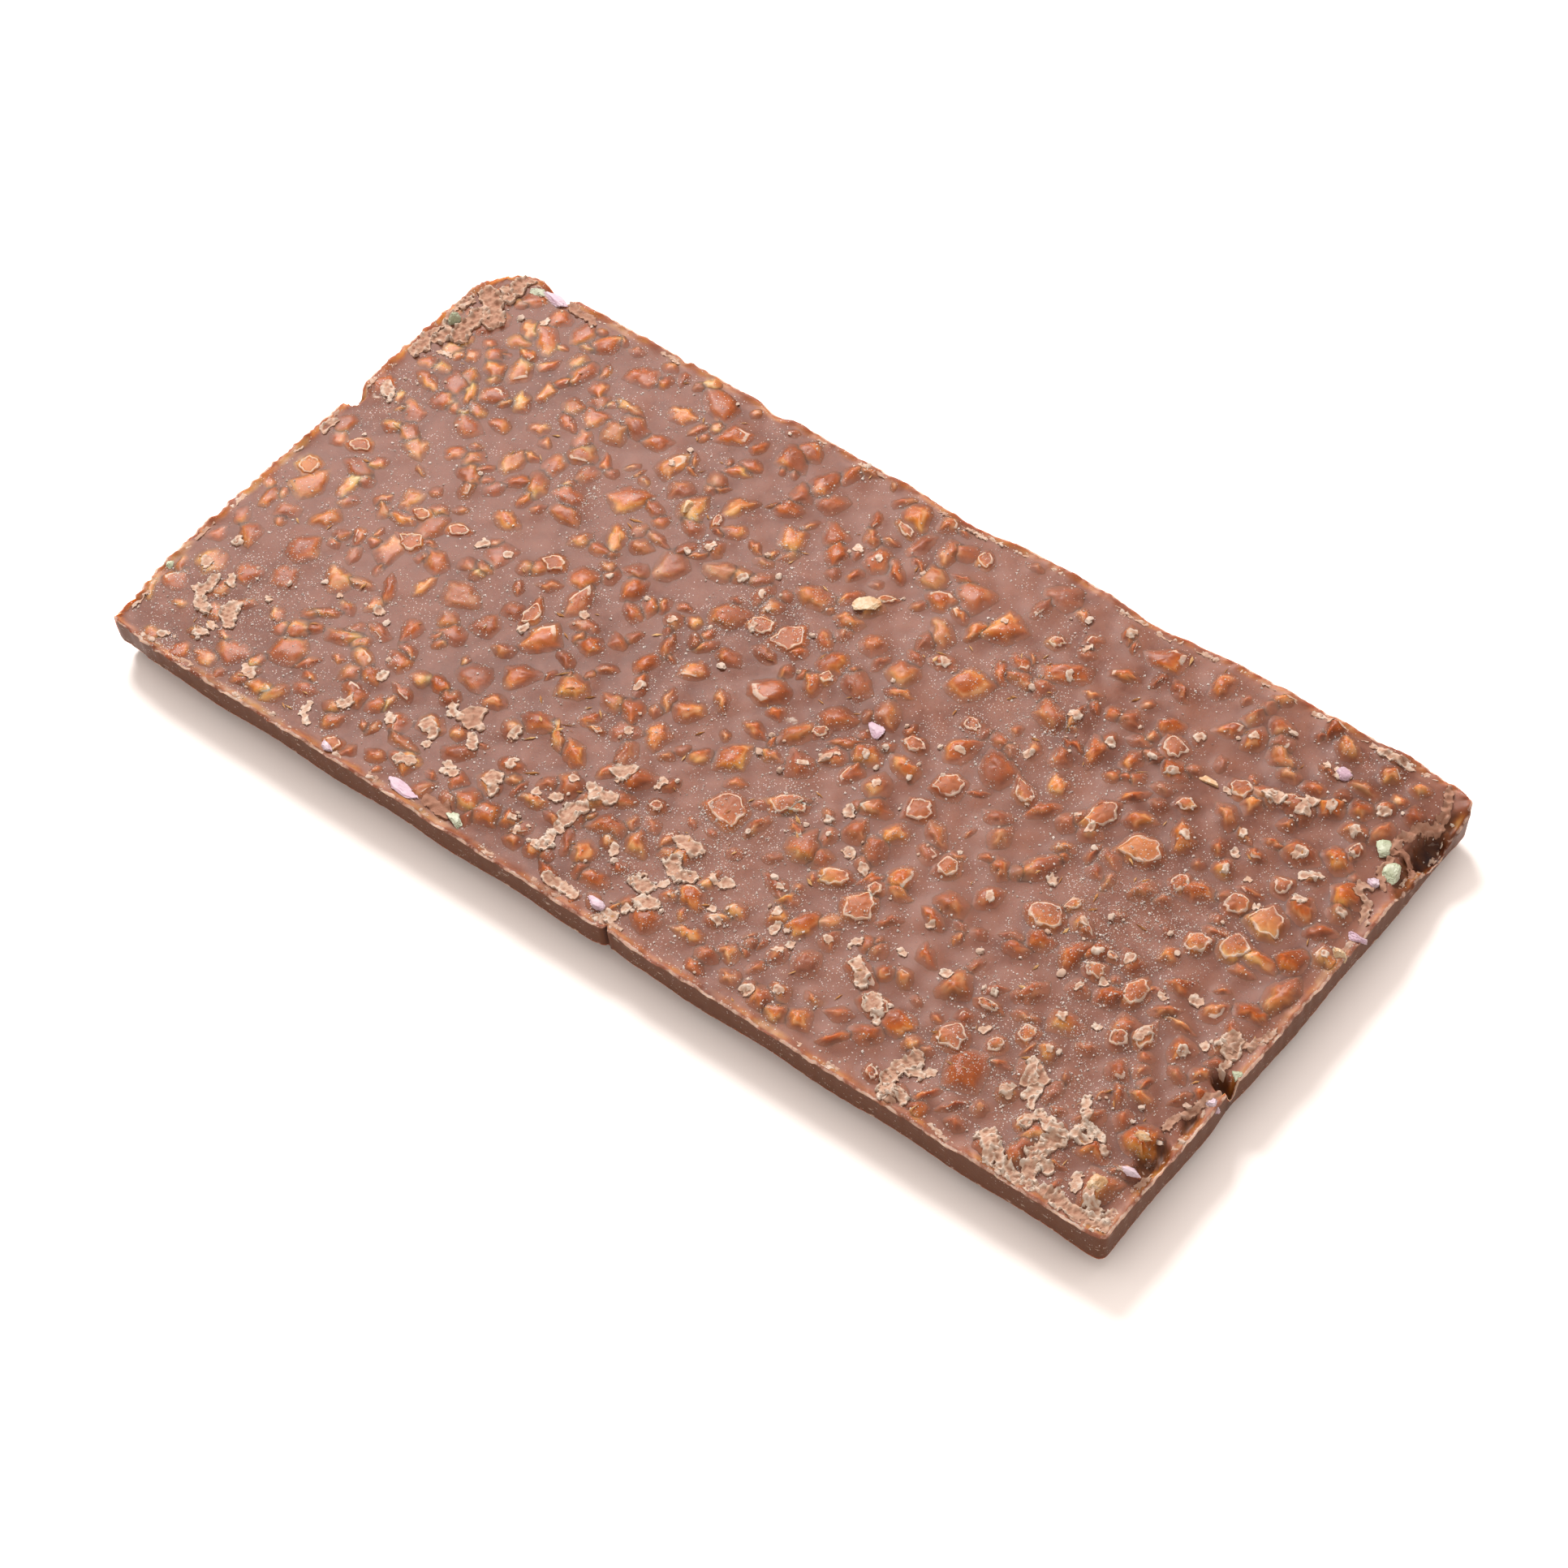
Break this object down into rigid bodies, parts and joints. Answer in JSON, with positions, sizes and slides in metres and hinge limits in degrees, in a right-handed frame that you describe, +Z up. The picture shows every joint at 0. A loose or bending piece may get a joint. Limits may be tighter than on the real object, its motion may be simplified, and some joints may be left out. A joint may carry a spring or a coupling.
{
  "type": "chocolate block",
  "caption": "Flat rectangular block of milk chocolate with chopped nuts standing out of its rough poured face, and moulded pillows underneath.",
  "frame": {"origin": "on the table plane, under the middle of the tablet's bounding box", "axes": "+X runs along the tablet's length, +Y across its width, +Z up out of the poured face"},
  "size_m": [0.1605, 0.0808, 0.0088],
  "materials": {
    "chocolate": "satin milk chocolate with a mauve cast",
    "nuts": "chopped nuts under a thin film of chocolate, terracotta to amber, satin",
    "crust": "dry pale crust, flakes and dust, matt",
    "green_candy": "pale green sugar, chalky",
    "pink_candy": "pale pink sugar, chalky"
  },
  "bodies": {
    "root": {"slab": "chocolate"}
  },
  "joints": []
}
